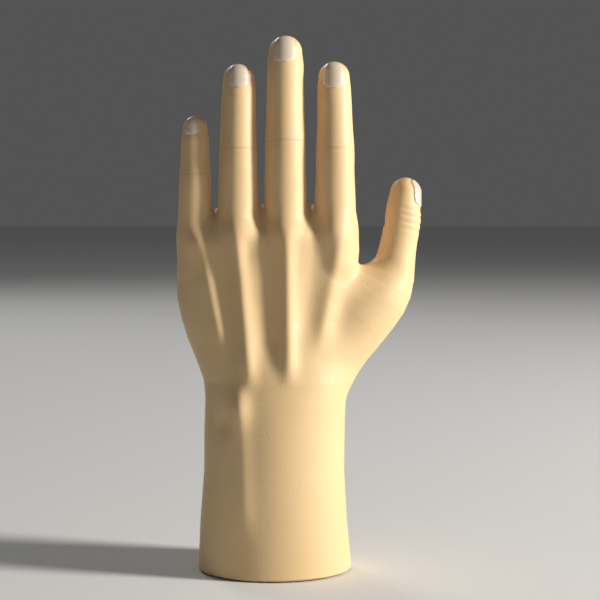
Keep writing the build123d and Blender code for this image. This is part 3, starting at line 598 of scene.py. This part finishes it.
def parted(points, quads, piece_of_quad, wall=0.9):
    """Closed shells, one for each piece, that share their edges' places."""
    made = {}
    for name in sorted(set(piece_of_quad)):
        own = quads[piece_of_quad == name]
        used, local = np.unique(own, return_inverse=True)
        local = local.reshape(own.shape)
        n = len(used)
        outer = points[used]
        inner = outer - skin_way[used] * wall
        open_rim = outer[:, 2] < 0.35
        inner[open_rim, 2] = outer[open_rim, 2]
        sides = np.concatenate([local[:, [0, 1]], local[:, [1, 2]], local[:, [2, 3]], local[:, [3, 0]]])
        keys = sides[:, 0] * n + sides[:, 1]
        back = sides[:, 1] * n + sides[:, 0]
        border = sides[~np.isin(keys, back)]
        walls = np.stack([border[:, 1], border[:, 0], border[:, 0] + n, border[:, 1] + n], 1)
        faces = np.concatenate([local, local[:, ::-1] + n, walls])
        made[name] = (np.concatenate([outer, inner]), faces, used, len(local))
    return made


centres = points[quads].mean(1)
bottom = (np.abs(points[quads][:, :, 2] - rim_height) < 0.05).all(1)
quads, centres = quads[~bottom], centres[~bottom]
shells = parted(points, quads, assign(centres))

# the nodes that a piece stands for, the body it starts on, the body past its pivot, and that pivot
stands_for = {"hand": (["palm_glove", "knuckle_folds"], "palm", None, None)}
for name in fingers:
    sleeve, fingertip = [name + "_bone_glove", "knuckle_folds"], [name + "_tip_glove", name + "_middle_fold"]
    stands_for[name + " base"] = (sleeve, "palm", name + "_base", name + "_knuckle")
    stands_for[name + " end"] = (fingertip, name + "_base", name + "_tip", name + "_middle")
sleeve, fingertip = ["thumb_knuckle_fold", "thumb_bone_glove"], ["thumb_tip_glove", "thumb_middle_fold"]
stands_for["thumb base"] = (["thumb_web_glove"], "palm", "thumb_root", "thumb_swing")
stands_for["thumb shank"] = (sleeve, "thumb_root", "thumb_base", "thumb_knuckle")
stands_for["thumb end"] = (fingertip, "thumb_base", "thumb_tip", "thumb_middle")


def shade_marks(points):
    """How rosy the skin is, and where fine dark lines run, at each point."""
    p = [points[:, i] for i in range(3)]
    flush, line = np.zeros(len(points)), np.zeros(len(points))
    for name in fingers:
        k, m = pivot[name + "_knuckle"], pivot[name + "_middle"]
        knuckle_flush = bump(p, (k[0], k[1] - 12, k[2]), (7, 8, 8), 0.55)
        middle_flush = bump(p, (m[0], m[1] - 8, m[2]), (7, 7, 5.5), 0.5)
        flush += knuckle_flush + middle_flush
        on = np.array([0, math.sin(tip_lean), math.cos(tip_lean)])
        own = np.abs(p[0] - m[0]) < 11.5
        beyond = (points - m) @ on
        flush += own * smooth_step((beyond - 0.66 * tip_length[name]) / (0.3 * tip_length[name])) * 0.55
        line += own * np.exp(-((beyond / 0.55) ** 2))
    flush += smooth_step((p[2] - 180) / 14) * (p[0] > 52) * 0.5
    flush += bump(p, (0, 18, 150), (34, 9, 26), 0.4)
    return np.clip(flush, 0, 1), np.clip(line, 0, 1)


for name, (corners, faces, used, outer_faces) in shells.items():
    mesh = bpy.data.meshes.new(name + " skin")
    mesh.from_pydata((corners / 1000).tolist(), [], faces.tolist())
    mesh.shade_smooth()
    ways = np.concatenate([skin_way[used], -skin_way[used]])
    loops = np.array([v for face in mesh.polygons for v in face.vertices])
    normals = ways[loops]
    wall_start = 8 * outer_faces  # loops before this belong to the outer and inner faces
    for face in mesh.polygons:
        if face.loop_start >= wall_start:
            normals[face.loop_start:face.loop_start + 4] = face.normal
    mesh.normals_split_custom_set(normals.tolist())
    for key, values in zip(("flush", "line"), shade_marks(corners)):
        mesh.attributes.new(key, "FLOAT", "POINT").data.foreach_set("value", values.astype(np.float32))
    mesh.materials.append(skin)
    made = bpy.data.objects.new("glove_" + name.replace(" ", "_"), mesh)
    bpy.context.scene.collection.objects.link(made)
    nodes, near, far, joint = stands_for[name]
    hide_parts(*nodes)
    if far is None:
        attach(made, near)
        continue
    middle, reach = pivot[joint] / 1000, np.array([0, 0, 0.008])
    middle - reach
    middle + reach
    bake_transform(made)  # its shares between the two bodies are worked out below
    share = weight(name, np.concatenate([points[used], points[used]]))

# ------------------------------------------------------------ nails
# Five thin acrylic plates, glued into the beds that the mould leaves for them. Each is arched
# across, and a paler free edge shows past the fingertip.

nail_finish, shader, place = finish_of(
    "nail acrylic", (0.66, 0.54, 0.42), 0.2, Coat_Weight=0.5, Coat_Roughness=0.08)
reach = place.node("ShaderNodeAttribute", {"attribute_name": "reach"}, 2)  # 0 at the root, 1 at the free edge
smooth_range = ("ShaderNodeMapRange", {"interpolation_type": "SMOOTHSTEP"}, 0)
band = place.node(*smooth_range, s0=reach, s1=0.86, s2=0.93, s3=0.0, s4=1.0)
moon = place.node(*smooth_range, s0=reach, s1=0.24, s2=0.12, s3=0.0, s4=1.0)
bed = (moon * 0.4).mix((0.70, 0.57, 0.44, 1), (0.77, 0.66, 0.53, 1))
lead((band * 0.6).mix(bed, (0.80, 0.72, 0.58, 1)), shader, "Base Color")


def on_skin(start, way):
    """The points where rays from inside the digit leave the skin."""
    spot = start.copy()
    for step in range(60):
        spot = spot - way * np.clip(hand([spot[:, i] for i in range(3)]), -1.5, 1.5)[:, None] * 0.7
    return spot


for name, (width, length) in nail_sizes.items():
    centre, out, on, across = nail_frame(name)
    cols, rows = 22, 24
    u, v = np.meshgrid(np.linspace(-1, 1, cols), np.linspace(-1, 1, rows))
    root = (1 - np.abs(v) ** 2.6) ** 0.42 * 0.35 + 0.65
    free_edge = (1 - np.abs(v) ** 5) ** 0.4 * 0.22 + 0.78
    narrow = np.where(v < 0, root, free_edge)
    side = u * narrow * 0.5 * width
    tall = v * (1 - 0.16 * u**2 * np.abs(v) ** 2) * 0.5 * length
    start = centre + np.outer(side.ravel(), across) * 0.55 + np.outer(tall.ravel(), on)
    fan = out + np.outer(side.ravel(), across) * 0.075
    fan = fan / np.linalg.norm(fan, axis=1)[:, None]
    seat = on_skin(start, fan)
    edge = (1 - np.abs(u).ravel() ** 6) * (1 - np.clip(-v.ravel(), 0, 1) ** 8)
    lift = 0.30 + 0.42 * np.clip(edge, 0, 1) + 0.25 * (v.ravel() > 0.5) * (v.ravel() - 0.5)
    top = seat + fan * lift[:, None]
    low = seat - fan * 0.7
    corners = np.concatenate([top, low])
    n = cols * rows
    faces = []
    for i in range(rows - 1):
        for j in range(cols - 1):
            a = i * cols + j
            faces.append((a, a + 1, a + cols + 1, a + cols))
            faces.append((n + a, n + a + cols, n + a + cols + 1, n + a + 1))
    loop = [*range(cols)] + [i * cols + cols - 1 for i in range(1, rows)]
    loop += [(rows - 1) * cols + j for j in range(cols - 2, -1, -1)]
    loop += [i * cols for i in range(rows - 2, 0, -1)]
    for a, b in zip(loop, loop[1:] + loop[:1]):
        faces.append((a, n + a, n + b, b))
    if np.dot(np.cross(across, on), out) < 0:
        faces = [face[::-1] for face in faces]
    mesh = bpy.data.meshes.new(name + " nail plate")
    mesh.from_pydata((corners / 1000).tolist(), [], faces)
    mesh.shade_smooth()
    height = np.concatenate([(v.ravel() + 1) / 2] * 2)
    mesh.attributes.new("reach", "FLOAT", "POINT").data.foreach_set("value", height.astype(np.float32))
    mesh.materials.append(nail_finish)
    plate = bpy.data.objects.new(name + "_nail_plate", mesh)
    bpy.context.scene.collection.objects.link(plate)
    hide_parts(name + "_nail")
    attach(plate, name + "_tip")

# ------------------------------------------------------------ cuff bead
# The glove's cut edge is rolled into a thin bead, so that it grips the former and doesn't tear.

tree = bpy.data.node_groups.new("rolled bead", "GeometryNodeTree")
bead_sizes = {"Half width": 0.0374, "Half depth": 0.0290, "Bead radius": 0.0011, "Height": 0.0014}
for key, value in bead_sizes.items():
    made = tree.interface.new_socket(key, in_out="INPUT", socket_type="NodeSocketFloat")
    made.default_value = value
tree.interface.new_socket("Material", in_out="INPUT", socket_type="NodeSocketMaterial")
tree.interface.new_socket("Geometry", in_out="OUTPUT", socket_type="NodeSocketGeometry")
given, result = tree.nodes.new("NodeGroupInput"), tree.nodes.new("NodeGroupOutput")
path = tree.nodes.new("GeometryNodeCurvePrimitiveCircle")
path.inputs["Resolution"].default_value, path.inputs["Radius"].default_value = 160, 1.0
stretch = tree.nodes.new("GeometryNodeTransform")
scale, lift = tree.nodes.new("ShaderNodeCombineXYZ"), tree.nodes.new("ShaderNodeCombineXYZ")
profile = tree.nodes.new("GeometryNodeCurvePrimitiveCircle")
profile.inputs["Resolution"].default_value = 12
sweep, smooth = tree.nodes.new("GeometryNodeCurveToMesh"), tree.nodes.new("GeometryNodeSetShadeSmooth")
real, paint = tree.nodes.new("GeometryNodeRealizeInstances"), tree.nodes.new("GeometryNodeSetMaterial")
scale.inputs[2].default_value = 1.0
for a, b in (
    (given.outputs["Half width"], scale.inputs[0]),
    (given.outputs["Half depth"], scale.inputs[1]),
    (given.outputs["Height"], lift.inputs[2]),
    (path.outputs[0], stretch.inputs["Geometry"]),
    (scale.outputs[0], stretch.inputs["Scale"]),
    (lift.outputs[0], stretch.inputs["Translation"]),
    (given.outputs["Bead radius"], profile.inputs["Radius"]),
    (stretch.outputs[0], sweep.inputs["Curve"]),
    (profile.outputs[0], sweep.inputs["Profile Curve"]),
    (sweep.outputs[0], smooth.inputs[0]),
    (smooth.outputs[0], real.inputs[0]),
    (real.outputs[0], paint.inputs["Geometry"]),
    (given.outputs["Material"], paint.inputs["Material"]),
    (paint.outputs[0], result.inputs[0]),
):
    tree.links.new(a, b)
carrier = bpy.data.objects.new("bead carrier", bpy.data.meshes.new("bead carrier"))
bpy.context.scene.collection.objects.link(carrier)
modifier = carrier.modifiers.new("bead", "NODES")
modifier.node_group = tree
sockets = {s.name: s.identifier for s in tree.interface.items_tree if s.in_out == "INPUT"}
modifier[sockets["Material"]] = skin
for key, value in bead_sizes.items():
    modifier[sockets[key]] = value
evaluated = carrier.evaluated_get(bpy.context.evaluated_depsgraph_get())
bead = bpy.data.objects.new("cuff_bead", bpy.data.meshes.new_from_object(evaluated))
bpy.data.objects.remove(carrier)
bead.data.transform(Matrix.Translation((-0.00025, 0, 0)))  # the cuff's middle
bpy.context.scene.collection.objects.link(bead)
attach(bead, "palm")

# ------------------------------------------------------------ moulded bones
# Bones of glass-filled nylon, injection moulded in a warm off-white with a faint grain.
# Each is held by the steel pins that it turns on.

bone, shader, place = finish_of("moulded nylon", (0.70, 0.68, 0.62), 0.5)
grain = place.node("ShaderNodeTexNoise", {}, 0, Vector=place, Scale=700.0, Detail=3.0)
lead(grain.mix((0.72, 0.70, 0.64, 1), (0.62, 0.60, 0.54, 1)), shader, "Base Color")
lead(grain * 0.2 + 0.38, shader, "Roughness")
lead(place.node("ShaderNodeBump", {}, 0, Strength=0.15, Distance=0.0002, Height=grain), shader, "Normal")

# ------------------------------------------------------------ foam
# Polyurethane foam, moulded in two halves that close round the palm's frame and fill the glove.
# Its skin is closed and dull.

foam, shader, place = finish_of("polyurethane foam", (0.62, 0.52, 0.38), 0.85)
cells = place.node("ShaderNodeTexVoronoi", {}, 0, Vector=place, Scale=600.0)
lead(cells.mix((0.66, 0.57, 0.42, 1), (0.52, 0.43, 0.30, 1)), shader, "Base Color")
lead(place.node("ShaderNodeBump", {}, 0, Strength=0.4, Distance=0.0005, Height=cells), shader, "Normal")

# ------------------------------------------------------------ wrist unit and palm frame
# Flange, housing, spindle, plates, chassis and brackets of aluminium, turned and milled, then
# anodised satin and screwed together. Turning marks run round the wrist's axis.

alloy, shader, place = finish_of("anodised aluminium", (0.60, 0.61, 0.63), 0.3, 1.0)
rings = {"wave_type": "RINGS", "rings_direction": "Z"}
turned = place.node("ShaderNodeTexWave", rings, 0, Vector=place, Scale=260.0, Distortion=0.6, Detail=2.0)
cloud = place.node("ShaderNodeTexNoise", {}, 0, Vector=place, Scale=60.0, Detail=4.0)
lead(cloud.mix((0.64, 0.65, 0.67, 1), (0.54, 0.55, 0.57, 1)), shader, "Base Color")
lead(turned * 0.10 + 0.24 + cloud * 0.08, shader, "Roughness")
lead(place.node("ShaderNodeBump", {}, 0, Strength=0.12, Distance=0.0001, Height=turned), shader, "Normal")

# ------------------------------------------------------------ pins, screws and springs
# Pins, screws and disc springs of hardened steel with a ground finish. The pins sit tight in
# their forks, and the bones turn on them.

steel, shader, place = finish_of("ground steel", (0.50, 0.50, 0.51), 0.26, 1.0)
scratch = place.node("ShaderNodeTexNoise", {}, 0, Vector=place, Scale=350.0, Detail=4.0, Distortion=0.8)
lead(scratch.mix((0.55, 0.55, 0.56, 1), (0.42, 0.42, 0.44, 1)), shader, "Base Color")
lead(scratch * 0.18 + 0.18, shader, "Roughness")

# ------------------------------------------------------------ bush, washers and cuff former
# The bush and the washers are black nylon, pressed between parts that rub.
# The former is a dark laminated tube that keeps the cuff's shape.

dark, shader, place = finish_of("black nylon", (0.035, 0.035, 0.038), 0.45)
speck = place.node("ShaderNodeTexNoise", {}, 0, Vector=place, Scale=500.0, Detail=2.0)
lead(speck.mix((0.03, 0.03, 0.033, 1), (0.055, 0.055, 0.06, 1)), shader, "Base Color")
lead(speck * 0.2 + 0.36, shader, "Roughness")
laminate, shader, place = finish_of("laminated former", (0.11, 0.10, 0.09), 0.4)
pale_strand, dark_strand = (0.13, 0.12, 0.11, 1), (0.08, 0.075, 0.07, 1)
weave = place.node("ShaderNodeTexChecker", {}, 0, Vector=place, s1=pale_strand, s2=dark_strand, Scale=400.0)
lead(weave, shader, "Base Color")
lead(place.node("ShaderNodeTexNoise", {}, 0, Vector=place, Scale=300.0) * 0.2 + 0.3, shader, "Roughness")

slot_finish = {
    "bone": bone, "foam": foam, "alloy": alloy, "steel": steel,
    "nylon": dark, "former": laminate, "glove": skin, "nail": nail_finish,
}
slots = {s["node"]: s["material_slot"] for s in frame["record"]["subparts"]}
for name, made in frame["nodes"].items():
    made.data.materials.clear()
    made.data.materials.append(slot_finish[slots[name]])

# ------------------------------------------------------------ floor, light and camera
# A plain pale floor, a soft key light from the thumb's side, a weak fill from the front and one
# from behind. None of it is part of the hand.

floor = bpy.data.meshes.new("floor")
half, drop = 20, -0.0004
floor.from_pydata([(-half, -half, drop), (half, -half, drop), (half, half, drop), (-half, half, drop)],
                  [], [(0, 1, 2, 3)])
ground = bpy.data.objects.new("floor", floor)
paper, shader, place = finish_of("floor paper", (0.80, 0.80, 0.79), 0.8)
floor.materials.append(paper)
bpy.context.scene.collection.objects.link(ground)
ground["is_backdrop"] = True

bpy.context.scene.view_settings.view_transform = "Standard"
world = bpy.context.scene.world or bpy.data.worlds.new("studio")
bpy.context.scene.world = world
world.use_nodes = True
world.node_tree.nodes["Background"].inputs["Color"].default_value = (0.40, 0.40, 0.41, 1)
world.node_tree.nodes["Background"].inputs["Strength"].default_value = 0.22


def lamp(name, place, target, size, power, colour=(1, 1, 1)):
    light = bpy.data.lights.new(name, "AREA")
    light.shape, light.size, light.energy, light.color = "DISK", size, power, colour
    light.specular_factor = 1.0 if name == "key" else 0.15
    made = bpy.data.objects.new(name, light)
    made.location = place
    made.rotation_mode = "QUATERNION"
    made.rotation_quaternion = (Vector(target) - Vector(place)).to_track_quat("-Z", "Y")
    bpy.context.scene.collection.objects.link(made)


lamp("key", (2.4, -0.58, 0.95), (0, 0, 0.14), 0.5, 104.0, (1.0, 0.97, 0.92))
lamp("fill", (0.5, -1.3, 0.45), (0, 0, 0.12), 0.7, 0.5)
lamp("back fill", (-1.0, 1.8, 1.7), (0, 0, 0.14), 0.9, 11.0)

lens = bpy.data.cameras.new("camera")
lens.sensor_width, lens.lens = 36.0, 84.0
camera = bpy.data.objects.new("camera", lens)
tilt, distance = math.radians(3.5), 0.70
aim_across, aim_height = 0.0125, 0.1354
camera.location = (aim_across, -distance * math.cos(tilt), aim_height + distance * math.sin(tilt))
camera.rotation_euler = (math.pi / 2 - tilt, 0, 0)
bpy.context.scene.collection.objects.link(camera)
bpy.context.scene.camera = camera

low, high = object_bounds()
